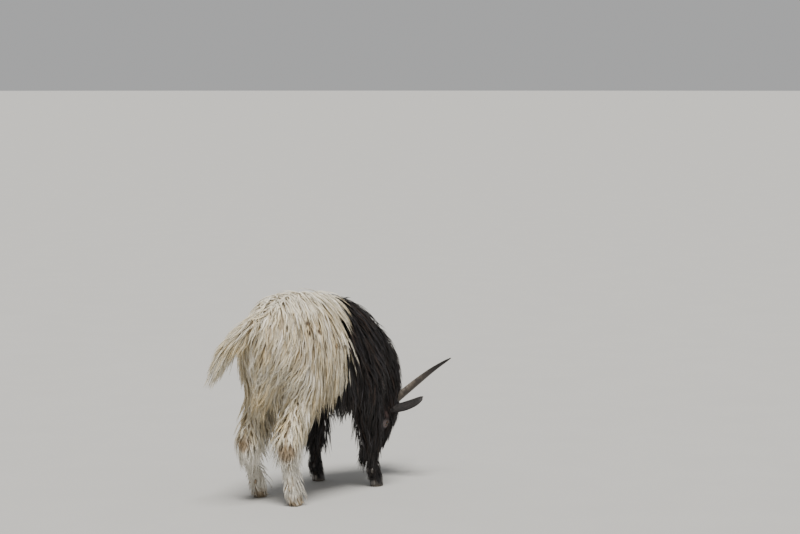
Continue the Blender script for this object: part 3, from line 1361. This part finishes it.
def white_hair(settings):
    """Ivory hair, tan at its roots, yellowed in patches and rusty over the hocks."""
    made, nodes, links, shader = new_material("white_hair")
    tint, along, over = hair_parts(nodes, links)
    place = object_coordinates(nodes)
    tip = tuple(settings.white)
    colour = mix_colour(nodes, links, ramp(nodes, links, along, 0.0, 0.55), (0.50, 0.405, 0.26), tip)
    warm = mix_colour(nodes, links, 1.0, colour, (0.93, 0.86, 0.71), "MULTIPLY")
    colour = mix_colour(nodes, links, ramp(nodes, links, tint, 0.40, 1.0), colour, warm)
    colour = mix_colour(nodes, links, ramp(nodes, links, tint, 0.35, 0.0), colour, (0.92, 0.88, 0.79))
    patches = noise_node(nodes, links, place, 8.0, 4.0)
    stained = mix_colour(nodes, links, 1.0, colour, (0.86, 0.77, 0.58), "MULTIPLY")
    split = nodes.new("ShaderNodeSeparateXYZ")
    links.new(place, split.inputs[0])
    rear = math_node(nodes, links, "SUBTRACT", 1.0, ramp(nodes, links, split.outputs["X"], -0.42, -0.20))
    high = ramp(nodes, links, split.outputs["Z"], 0.22, 0.40)
    rear = math_node(nodes, links, "MULTIPLY", rear, high)
    worn = math_node(nodes, links, "MULTIPLY", ramp(nodes, links, patches, 0.36, 0.70),
                     math_node(nodes, links, "ADD", math_node(nodes, links, "MULTIPLY", rear, 0.25), 0.45))
    clean = math_node(nodes, links, "SUBTRACT", 1.0,
                      math_node(nodes, links, "MULTIPLY", ramp(nodes, links, split.outputs["Z"], 0.62, 0.76), 0.7))
    worn = math_node(nodes, links, "MULTIPLY", worn, clean)
    colour = mix_colour(nodes, links, worn, colour, stained)
    crest = ramp(nodes, links, split.outputs["Z"], 0.69, 0.80)
    colour = mix_colour(nodes, links, math_node(nodes, links, "MULTIPLY", crest, 0.75), colour, (0.97, 0.93, 0.81))
    low = ramp(nodes, links, split.outputs["Z"], 0.27, 0.17)
    colour = mix_colour(nodes, links, math_node(nodes, links, "MULTIPLY", low, 0.85), colour, (0.98, 0.955, 0.88))
    rusty = mix_colour(nodes, links, 1.0, colour, (0.52, 0.43, 0.335), "MULTIPLY")
    for spot, radius, strength in COAT_STAINS:
        patch = math_node(nodes, links, "MULTIPLY", near_spot(nodes, links, place, Vector(spot), radius), strength)
        colour = mix_colour(nodes, links, patch, colour, rusty)
    muddy = mix_colour(nodes, links, 1.0, colour, (0.62, 0.50, 0.36), "MULTIPLY")
    mud = math_node(nodes, links, "MULTIPLY", ramp(nodes, links, split.outputs["Z"], 0.050, 0.012),
                    ramp(nodes, links, noise_node(nodes, links, place, 30.0, 3.0), 0.38, 0.60))
    colour = mix_colour(nodes, links, mud, colour, muddy)
    soiled = mix_colour(nodes, links, 1.0, colour, (0.10, 0.07, 0.05), "MULTIPLY")
    for spot, radius in COAT_SPECKS:
        colour = mix_colour(nodes, links, near_spot(nodes, links, place, Vector(spot), radius), colour, soiled)
    colour = hair_lines(nodes, links, colour, over, along, 0.80)
    links.new(colour, shader.inputs["Base Color"])
    finish_hair(nodes, links, shader, over, along, 0.55, 0.35)
    return made


def black_hair(settings):
    """Brown-black hair with a cool gloss and some rusty strands."""
    made, nodes, links, shader = new_material("black_hair")
    tint, along, over = hair_parts(nodes, links)
    base = tuple(settings.black)
    tip = tuple(c * 1.8 + 0.003 for c in base)
    colour = mix_colour(nodes, links, ramp(nodes, links, along, 0.1, 1.0), base, tip)
    brown = mix_colour(nodes, links, 0.6, colour, (0.080, 0.048, 0.034))
    colour = mix_colour(nodes, links, ramp(nodes, links, tint, 0.70, 1.0), colour, brown)
    cool = mix_colour(nodes, links, 0.7, colour, (0.062, 0.056, 0.064))
    colour = mix_colour(nodes, links, ramp(nodes, links, tint, 0.30, 0.05), colour, cool)
    place = object_coordinates(nodes)
    rosy = mix_colour(nodes, links, 0.55, colour, (0.22, 0.145, 0.140))
    for hand in (1, -1):
        for far, right, brow, radius in THIN_HAIR:
            spot = in_head(far, right * hand, brow)
            colour = mix_colour(nodes, links, near_spot(nodes, links, place, spot, radius), colour, rosy)
    colour = hair_lines(nodes, links, colour, over, along, 0.55)
    links.new(colour, shader.inputs["Base Color"])
    finish_hair(nodes, links, shader, over, along, 0.42, 0.52)
    return made


def line_pattern(nodes, links, over, along):
    """Fine lines that run along a strand: across is in millimetres, along in lengths."""
    join = nodes.new("ShaderNodeCombineXYZ")
    links.new(math_node(nodes, links, "MULTIPLY", over, 1.6), join.inputs[0])
    links.new(math_node(nodes, links, "MULTIPLY", along, 1.6), join.inputs[1])
    return noise_node(nodes, links, join.outputs[0], 1.0, 3.0)


def hair_lines(nodes, links, colour, over, along, darkest):
    dark = mix_colour(nodes, links, 1.0, colour, (darkest, darkest * 0.97, darkest * 0.93), "MULTIPLY")
    lines = ramp(nodes, links, line_pattern(nodes, links, over, along), 0.60, 0.36)
    return mix_colour(nodes, links, lines, colour, dark)


def finish_hair(nodes, links, shader, over, along, roughness, specular):
    """Fine ridges along each strand, and the gloss of hair."""
    shader.inputs["Roughness"].default_value = roughness
    shader.inputs["Specular IOR Level"].default_value = specular
    bump = nodes.new("ShaderNodeBump")
    bump.inputs["Strength"].default_value = 0.55
    bump.inputs["Distance"].default_value = 0.0010
    links.new(line_pattern(nodes, links, over, along), bump.inputs["Height"])
    links.new(bump.outputs["Normal"], shader.inputs["Normal"])


def skin_finish(settings):
    """Skin under the coat, with the coat's two colours and a dark bare nose."""
    made, nodes, links, shader = new_material("skin_finish")
    place = object_coordinates(nodes)
    split = nodes.new("ShaderNodeSeparateXYZ")
    links.new(place, split.inputs[0])
    from_middle = math_node(nodes, links, "ABSOLUTE", math_node(nodes, links, "ADD", split.outputs["Y"], SHIFT.y))
    side = ramp(nodes, links, from_middle, 0.0, MARKING_SIDE)
    line = math_node(nodes, links, "ADD", split.outputs["X"],
                     math_node(nodes, links, "MULTIPLY", side, MARKING_FALL))
    edge = MARKING_AT - 0.012 - SHIFT.x
    front = ramp(nodes, links, line, edge - 0.006, edge + 0.006)
    mottle = noise_node(nodes, links, place, 60.0, 4.0)
    pale = mix_colour(nodes, links, ramp(nodes, links, mottle, 0.3, 0.7), (0.36, 0.29, 0.20), (0.46, 0.38, 0.27))
    dark = mix_colour(nodes, links, ramp(nodes, links, mottle, 0.3, 0.7), (0.013, 0.011, 0.011), (0.030, 0.024, 0.022))
    links.new(mix_colour(nodes, links, front, pale, dark), shader.inputs["Base Color"])
    shader.inputs["Roughness"].default_value = 0.62
    bump = nodes.new("ShaderNodeBump")
    bump.inputs["Strength"].default_value = 0.4
    bump.inputs["Distance"].default_value = 0.001
    links.new(noise_node(nodes, links, place, 420.0, 3.0), bump.inputs["Height"])
    links.new(bump.outputs["Normal"], shader.inputs["Normal"])
    return made


def lid_finish():
    """Bare greyish-pink skin of the lids, darker at the rim."""
    made, nodes, links, shader = new_material("lid_finish")
    place = object_coordinates(nodes)
    spots = noise_node(nodes, links, place, 180.0, 4.0)
    colour = mix_colour(nodes, links, ramp(nodes, links, spots, 0.35, 0.7), (0.140, 0.108, 0.108), (0.25, 0.200, 0.200))
    ringed = 0.0
    for hand in (1, -1):
        ringed = math_node(nodes, links, "ADD", ringed,
                           near_spot(nodes, links, place, eye_frame(hand)[0], 0.0225))
    colour = mix_colour(nodes, links, ramp(nodes, links, ringed, 0.02, 0.30), (0.018, 0.014, 0.014), colour)
    links.new(colour, shader.inputs["Base Color"])
    shader.inputs["Roughness"].default_value = 0.5
    bump = nodes.new("ShaderNodeBump")
    bump.inputs["Strength"].default_value = 0.5
    bump.inputs["Distance"].default_value = 0.0006
    links.new(noise_node(nodes, links, place, 700.0, 3.0), bump.inputs["Height"])
    links.new(bump.outputs["Normal"], shader.inputs["Normal"])
    return made


def eye_finish(hand):
    """Amber iris with fine spokes, a level slot of a pupil, and a wet surface."""
    word = "right" if hand > 0 else "left"
    made, nodes, links, shader = new_material(f"eye_finish_{word}")
    middle, gaze, corners, high = eye_frame(hand)
    level = (corners * 0.12 + high * 0.99).normalized()
    flat_up = gaze.cross(level).normalized()
    turn = Matrix((level, flat_up, gaze))
    mapping = nodes.new("ShaderNodeMapping")
    mapping.vector_type = "POINT"
    links.new(object_coordinates(nodes), mapping.inputs["Vector"])
    mapping.inputs["Rotation"].default_value = turn.to_euler()
    mapping.inputs["Location"].default_value = -(turn @ (middle - SHIFT))
    split = nodes.new("ShaderNodeSeparateXYZ")
    links.new(mapping.outputs[0], split.inputs[0])
    x, y, z = split.outputs
    square = math_node(nodes, links, "ADD", math_node(nodes, links, "MULTIPLY", x, x),
                       math_node(nodes, links, "MULTIPLY", y, y))
    radius = math_node(nodes, links, "SQRT", square)
    spokes_at = nodes.new("ShaderNodeCombineXYZ")
    links.new(math_node(nodes, links, "ARCTAN2", y, x), spokes_at.inputs[0])
    links.new(math_node(nodes, links, "MULTIPLY", radius, 60.0), spokes_at.inputs[1])
    spokes = noise_node(nodes, links, spokes_at.outputs[0], 9.0, 3.0)
    iris = mix_colour(nodes, links, ramp(nodes, links, spokes, 0.3, 0.7), (0.036, 0.020, 0.009), (0.105, 0.060, 0.024))
    wide = math_node(nodes, links, "POWER", math_node(nodes, links, "ABSOLUTE", math_node(
        nodes, links, "DIVIDE", x, 0.0068)), 4.0)
    tall = math_node(nodes, links, "POWER", math_node(nodes, links, "ABSOLUTE", math_node(
        nodes, links, "DIVIDE", y, 0.0026)), 4.0)
    slot = ramp(nodes, links, math_node(nodes, links, "ADD", wide, tall), 0.8, 1.2)
    colour = mix_colour(nodes, links, slot, (0.002, 0.002, 0.003), iris)
    colour = mix_colour(nodes, links, ramp(nodes, links, radius, 0.0088, 0.0108), colour, (0.030, 0.018, 0.012))
    links.new(colour, shader.inputs["Base Color"])
    shader.inputs["Roughness"].default_value = 0.06
    shader.inputs["Specular IOR Level"].default_value = 0.2
    shader.inputs["Coat Weight"].default_value = 1.0
    shader.inputs["Coat Roughness"].default_value = 0.02
    shader.inputs["Coat IOR"].default_value = 1.3
    return made


def horn_finish(hand):
    """Grey-brown horn: growth rings across it, streaks along it, and a darker tip."""
    word = "right" if hand > 0 else "left"
    made, nodes, links, shader = new_material(f"horn_finish_{word}")
    ahead, out, back = HORN_REACH
    base = in_head(HORN_AT[0], HORN_AT[1] * hand, HORN_AT[2]) - SHIFT
    chord = AHEAD * ahead + HEAD_RIGHT * (out * hand) - NOSEWARD * back
    place = object_coordinates(nodes)
    away = nodes.new("ShaderNodeVectorMath")
    away.operation = "SUBTRACT"
    links.new(place, away.inputs[0])
    away.inputs[1].default_value = base
    along = nodes.new("ShaderNodeVectorMath")
    along.operation = "DOT_PRODUCT"
    links.new(away.outputs[0], along.inputs[0])
    along.inputs[1].default_value = chord / chord.length_squared
    share = along.outputs["Value"]
    mottle = noise_node(nodes, links, place, 45.0, 5.0)
    colour = mix_colour(nodes, links, ramp(nodes, links, mottle, 0.3, 0.7), (0.050, 0.041, 0.034), (0.14, 0.115, 0.091))
    rings_at = nodes.new("ShaderNodeCombineXYZ")
    links.new(math_node(nodes, links, "MULTIPLY", share, 60.0), rings_at.inputs[0])
    rings = noise_node(nodes, links, rings_at.outputs[0], 2.2, 4.0)
    ringed = mix_colour(nodes, links, 1.0, colour, (0.62, 0.58, 0.54), "MULTIPLY")
    colour = mix_colour(nodes, links, ramp(nodes, links, rings, 0.45, 0.7), colour, ringed)
    colour = mix_colour(nodes, links, ramp(nodes, links, share, 0.35, 0.80), colour, (0.018, 0.015, 0.014))
    links.new(colour, shader.inputs["Base Color"])
    shader.inputs["Roughness"].default_value = 0.48
    bump = nodes.new("ShaderNodeBump")
    bump.inputs["Strength"].default_value = 0.6
    bump.inputs["Distance"].default_value = 0.0012
    links.new(rings, bump.inputs["Height"])
    links.new(bump.outputs["Normal"], shader.inputs["Normal"])
    return made


def hoof_finish(name, light, dark):
    """Hoof horn with streaks down the wall and soil near the floor."""
    made, nodes, links, shader = new_material(name)
    place = object_coordinates(nodes)
    stretch = nodes.new("ShaderNodeMapping")
    stretch.inputs["Scale"].default_value = (1.0, 1.0, 0.12)
    links.new(place, stretch.inputs["Vector"])
    streaks = noise_node(nodes, links, stretch.outputs[0], 420.0, 3.0)
    colour = mix_colour(nodes, links, ramp(nodes, links, streaks, 0.35, 0.65), dark, light)
    split = nodes.new("ShaderNodeSeparateXYZ")
    links.new(place, split.inputs[0])
    soil = math_node(nodes, links, "SUBTRACT", 1.0, ramp(nodes, links, split.outputs["Z"], 0.0, 0.016))
    colour = mix_colour(nodes, links, math_node(nodes, links, "MULTIPLY", soil, 0.6), colour, (0.10, 0.075, 0.05))
    for foot in ("fore_right", "fore_left"):
        heel = near_spot(nodes, links, place, FEET[foot] + Vector((-0.028, 0, 0.016)), 0.015)
        colour = mix_colour(nodes, links, heel, colour, (0.26, 0.24, 0.22))
    links.new(colour, shader.inputs["Base Color"])
    shader.inputs["Roughness"].default_value = 0.45
    bump = nodes.new("ShaderNodeBump")
    bump.inputs["Strength"].default_value = 0.4
    bump.inputs["Distance"].default_value = 0.0006
    links.new(streaks, bump.inputs["Height"])
    links.new(bump.outputs["Normal"], shader.inputs["Normal"])
    return made


def ear_finish():
    """Velvety black-brown skin of the ear, thinner and browner inside."""
    made, nodes, links, shader = new_material("ear_finish")
    place = object_coordinates(nodes)
    patches = noise_node(nodes, links, place, 70.0, 4.0)
    colour = mix_colour(nodes, links, ramp(nodes, links, patches, 0.3, 0.7), (0.009, 0.008, 0.008), (0.024, 0.019, 0.018))
    links.new(colour, shader.inputs["Base Color"])
    shader.inputs["Roughness"].default_value = 0.7
    bump = nodes.new("ShaderNodeBump")
    bump.inputs["Strength"].default_value = 0.5
    bump.inputs["Distance"].default_value = 0.0008
    links.new(noise_node(nodes, links, place, 650.0, 2.0), bump.inputs["Height"])
    links.new(bump.outputs["Normal"], shader.inputs["Normal"])
    return made


def floor_finish():
    made, nodes, links, shader = new_material("floor_finish")
    place = object_coordinates(nodes)
    colour = mix_colour(nodes, links, noise_node(nodes, links, place, 3.0), (0.41, 0.405, 0.39), (0.44, 0.435, 0.42))
    links.new(colour, shader.inputs["Base Color"])
    shader.inputs["Roughness"].default_value = 0.8
    return made


# Stains on the white coat: place, radius, strength.
COAT_STAINS = [
    ((-0.086, -0.112, 0.206), 0.052, 1.0),
    ((-0.104, 0.080, 0.222), 0.046, 1.0),
    ((0.184, -0.156, 0.585), 0.020, 1.00),
    ((-0.040, -0.090, 0.600), 0.160, 0.22),
]
# Small dark specks of soil: place and radius.
COAT_SPECKS = [
    ((0.0420, -0.1170, 0.6812), 0.0145),
    ((0.0470, -0.1270, 0.6455), 0.0170),
    ((0.0880, -0.1420, 0.6476), 0.0185),
    ((0.2120, -0.1680, 0.5800), 0.0115),
]
# Where the hair is thin between eye and ear, the skin shows pinkish: place and radius.
THIN_HAIR = [
    (0.066, 0.052, -0.020, 0.020),
    (0.050, 0.055, -0.026, 0.018),
    (0.106, 0.050, -0.024, 0.018),
]
FLESH = ("head", "neck", "torso_front", "torso_rear", "tail", "leg_hind_right", "leg_hind_left",
         "leg_fore_right", "leg_fore_left")
PART_NODES = {
    "trunk": ("torso_rear", "torso_front"),
    "neck": ("neck",),
    "tail": ("tail",),
    "head": ("head",),
}


class GoatSettings(bpy.types.PropertyGroup):
    """What a user would change."""

    density: bpy.props.FloatProperty(
        name="Density", description="Locks of hair on each area, against the usual number", default=1.0, min=0.1)
    length: bpy.props.FloatProperty(
        name="Length", description="Length of the hair, against the usual length", default=1.0, min=0.2)
    white: bpy.props.FloatVectorProperty(
        name="White", description="Tips of the white hair", subtype="COLOR", default=(0.88, 0.825, 0.680))
    black: bpy.props.FloatVectorProperty(
        name="Black", description="Roots of the black hair", subtype="COLOR", default=(0.0090, 0.0076, 0.0078))
    horn_ridge: bpy.props.FloatProperty(
        name="Voxel", description="Size of the skin's mesh before it is smoothed", default=SKIN_VOXEL,
        unit="LENGTH")


class GOAT_OT_skin(bpy.types.Operator):
    """Builds the skin of the whole body"""

    bl_idname = "goat.skin"
    bl_label = "Skin"

    def execute(self, context):
        skin = build_skin()
        set_piece(skin, skin_finish(context.scene.goat), "coat_black", *FLESH)
        return {"FINISHED"}


def skin_in_body_axes():
    """A copy of the skin moved back to the body's own axes."""
    copy = bpy.data.objects.new("skin_copy", bpy.data.objects["skin"].data.copy())
    copy.data.transform(Matrix.Translation(SHIFT))
    return copy


class GOAT_OT_eyes(bpy.types.Operator):
    """Builds the eyeballs and lids"""

    bl_idname = "goat.eyes"
    bl_label = "Eyes"

    def execute(self, context):
        copy = skin_in_body_axes()
        tree = tree_of(copy)
        rim = lid_finish()
        for hand, word in ((1, "right"), (-1, "left")):
            set_piece(eyeball(hand, word), eye_finish(hand), "eye", f"eye_{word}")
            set_piece(eyelids(hand, word, tree), rim, "coat_black", "head")
        bpy.data.objects.remove(copy)
        return {"FINISHED"}


class GOAT_OT_horns(bpy.types.Operator):
    """Builds the horns"""

    bl_idname = "goat.horns"
    bl_label = "Horns"

    def execute(self, context):
        for hand, word in ((1, "right"), (-1, "left")):
            set_piece(horn(hand, word), horn_finish(hand), "horn", f"horn_{word}")
        return {"FINISHED"}


class GOAT_OT_ears(bpy.types.Operator):
    """Builds the ears"""

    bl_idname = "goat.ears"
    bl_label = "Ears"

    def execute(self, context):
        velvet = ear_finish()
        for hand, word in ((1, "right"), (-1, "left")):
            set_piece(ear(hand, word), velvet, "coat_black", f"ear_{word}")
        return {"FINISHED"}


class GOAT_OT_hooves(bpy.types.Operator):
    """Builds the hooves and dewclaws"""

    bl_idname = "goat.hooves"
    bl_label = "Hooves"

    def execute(self, context):
        pale = hoof_finish("hoof_pale_finish", (0.42, 0.34, 0.235), (0.22, 0.165, 0.105))
        dark = hoof_finish("hoof_dark_finish", (0.085, 0.075, 0.066), (0.030, 0.026, 0.024))
        for foot in FEET:
            finish, slot = (pale, "hoof_pale") if foot.startswith("hind") else (dark, "hoof_dark")
            set_piece(hoof(foot, foot), finish, slot, f"claw_{foot}_inner", f"claw_{foot}_outer")
            set_piece(dewclaws(foot, foot), finish, slot, f"leg_{foot}")
        return {"FINISHED"}


class GOAT_OT_coat(bpy.types.Operator):
    """Builds the coat, strand by strand"""

    bl_idname = "goat.coat"
    bl_label = "Coat"

    def execute(self, context):
        settings = context.scene.goat
        copy = skin_in_body_axes()
        dice = np.random.default_rng(SEED)
        finishes = {True: white_hair(settings), False: black_hair(settings)}
        tree = tree_of(copy)
        made = body_coat(copy, tree, settings, dice)
        if not made:
            raise RuntimeError("the skin has no faces to carry hair")
        for kind in HEAD_TUFTS:
            made += head_tuft(tree, kind, settings, dice)
        for hand, word in ((1, "right"), (-1, "left")):
            made += ear_coat(hand, word, dice)
        for piece, pale, nodes in made:
            slot = "coat_white" if pale else "coat_black"
            set_piece(piece, finishes[pale], slot, *nodes)
        bpy.data.objects.remove(copy)
        return {"FINISHED"}


class GOAT_OT_stage(bpy.types.Operator):
    """Builds the floor, the lights and the camera"""

    bl_idname = "goat.stage"
    bl_label = "Stage"

    def execute(self, context):
        shape = bmesh.new()
        bmesh.ops.create_circle(shape, cap_ends=True, segments=96, radius=300.0)
        floor = object_of("floor", shape)
        floor.data.materials.append(floor_finish())
        light_scene(context.scene)
        place_camera(context.scene)
        return {"FINISHED"}


def light_scene(scene):
    """A soft high sun and a pale sky."""
    world = bpy.data.worlds.new("soft_sky")
    world.use_nodes = True
    world.node_tree.nodes["Background"].inputs["Color"].default_value = (0.97, 0.975, 0.98, 1)
    world.node_tree.nodes["Background"].inputs["Strength"].default_value = 0.45
    scene.world = world
    sun = bpy.data.lights.new("soft_sun", "SUN")
    sun.angle = math.radians(24)
    sun.energy = 5.4
    sun.color = (1.0, 0.975, 0.93)
    made = bpy.data.objects.new("soft_sun", sun)
    made.rotation_euler = Vector((0.30, 0.20, -1.0)).to_track_quat("-Z", "Y").to_euler()
    scene.collection.objects.link(made)


CAMERA_AT = Vector((-6.737, -5.134, 1.600))
CAMERA_LOOK = Vector((0.8248, 0.5593, -0.0833))
FOCAL_PIXELS = 2250
PICTURE_WIDTH = 800
SENSOR = 36.0


def place_camera(scene):
    """The photograph's own viewpoint, worked out from the feet's places on the ground."""
    lens = bpy.data.cameras.new("camera")
    lens.sensor_width = SENSOR
    lens.lens = SENSOR * FOCAL_PIXELS / PICTURE_WIDTH
    lens.clip_end = 1000
    camera = bpy.data.objects.new("camera", lens)
    camera.location = CAMERA_AT - SHIFT
    camera.rotation_euler = CAMERA_LOOK.to_track_quat("-Z", "Y").to_euler()
    scene.collection.objects.link(camera)
    scene.camera = camera


class GOAT_PT_panel(bpy.types.Panel):
    """Lists the goat's operators and settings"""

    bl_idname = "GOAT_PT_panel"
    bl_label = "Goat"
    bl_space_type = "VIEW_3D"
    bl_region_type = "UI"
    bl_category = "Goat"

    def draw(self, context):
        settings = context.scene.goat
        for name in ("density", "length", "white", "black"):
            self.layout.prop(settings, name)
        for operator in OPERATORS:
            self.layout.operator(operator.bl_idname)


OPERATORS = (GOAT_OT_skin, GOAT_OT_eyes, GOAT_OT_horns, GOAT_OT_ears, GOAT_OT_hooves, GOAT_OT_coat,
             GOAT_OT_stage)
CLASSES = (GoatSettings, *OPERATORS, GOAT_PT_panel)


def register():
    for each in CLASSES:
        bpy.utils.register_class(each)
    bpy.types.Scene.goat = bpy.props.PointerProperty(type=GoatSettings)


def unregister():
    del bpy.types.Scene.goat
    for each in reversed(CLASSES):
        bpy.utils.unregister_class(each)


def main():
    register()
    bpy.ops.goat.skin()
    bpy.ops.goat.eyes()
    bpy.ops.goat.horns()
    bpy.ops.goat.ears()
    bpy.ops.goat.hooves()
    bpy.ops.goat.coat()
    bpy.ops.goat.stage()


if __name__ == "__main__":
    main()
